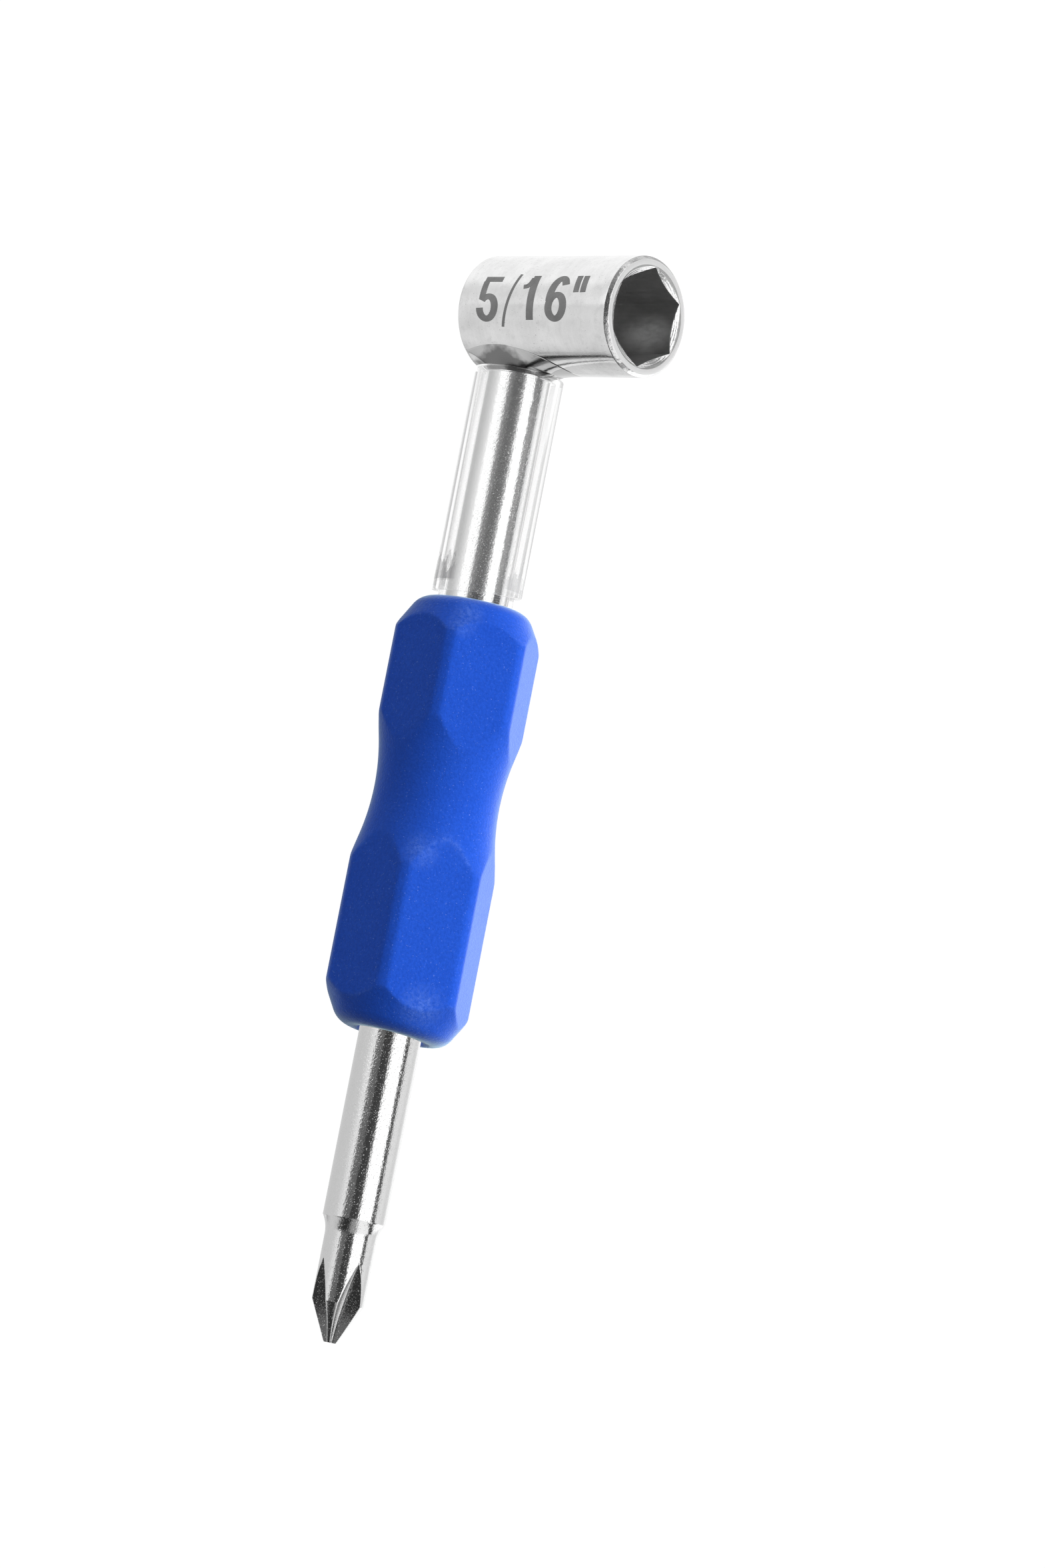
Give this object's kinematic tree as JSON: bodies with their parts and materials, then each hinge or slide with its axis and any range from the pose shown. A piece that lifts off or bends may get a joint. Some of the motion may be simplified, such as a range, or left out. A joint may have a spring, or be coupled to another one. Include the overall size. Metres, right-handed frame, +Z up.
{
  "type": "truss rod wrench",
  "caption": "Hand wrench with a hexagon socket set across one end of a steel shank, a cross-point tip at the other, clear sleeves and a hexagonal grip between.",
  "frame": {"origin": "middle of the underside of the tool's box, as it lies on one flat of its handle", "axes": "+X along the shank towards the socket, the socket's mouth faces -Y, +Z up"},
  "size_m": [0.1012, 0.021, 0.0124],
  "materials": {
    "plated_steel": "bright plating, fine grain",
    "braze_metal": "plated over, blended by hand",
    "clear_plastic": "clear, glossy",
    "handle_plastic": "matte, fine moulded grain"
  },
  "bodies": {
    "tool": {"socket_barrel": "plated_steel", "shank": "plated_steel", "braze_fillet": "braze_metal", "handle": "handle_plastic"},
    "sleeve": {"inner_sleeve": "clear_plastic", "outer_sleeve": "clear_plastic"}
  },
  "joints": [
    {"name": "sleeve_turn", "type": "hinge", "parent": "tool", "child": "sleeve", "pos_m": [0.0289, 0.00365, 0.0062], "axis": [1, 0, 0], "continuous": true}
  ]
}
